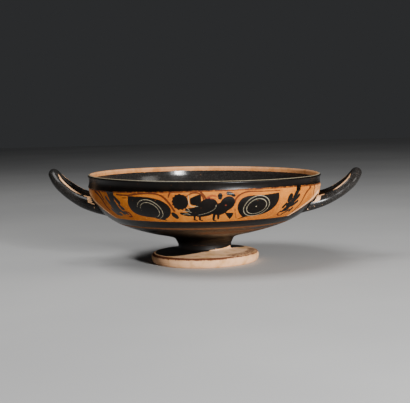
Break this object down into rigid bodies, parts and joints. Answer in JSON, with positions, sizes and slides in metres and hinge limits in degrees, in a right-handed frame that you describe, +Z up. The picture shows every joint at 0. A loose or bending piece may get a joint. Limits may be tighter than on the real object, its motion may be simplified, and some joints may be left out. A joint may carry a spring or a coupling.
{
  "type": "kylix cup",
  "caption": "Shallow stemmed drinking cup with offset lip, disc foot and two upswept horseshoe handles, in black-figure painted clay.",
  "frame": {"origin": "on the table plane, under the middle of the cup's outline", "axes": "+Z up; X through both handles; the painted fronts face -Y and +Y"},
  "size_m": [0.2764, 0.2044, 0.085],
  "materials": {
    "painted_clay": "fired clay, black gloss slip over orange-buff clay, stands in for ceramic"
  },
  "bodies": {
    "root": {"kylix": "painted_clay"}
  },
  "joints": []
}
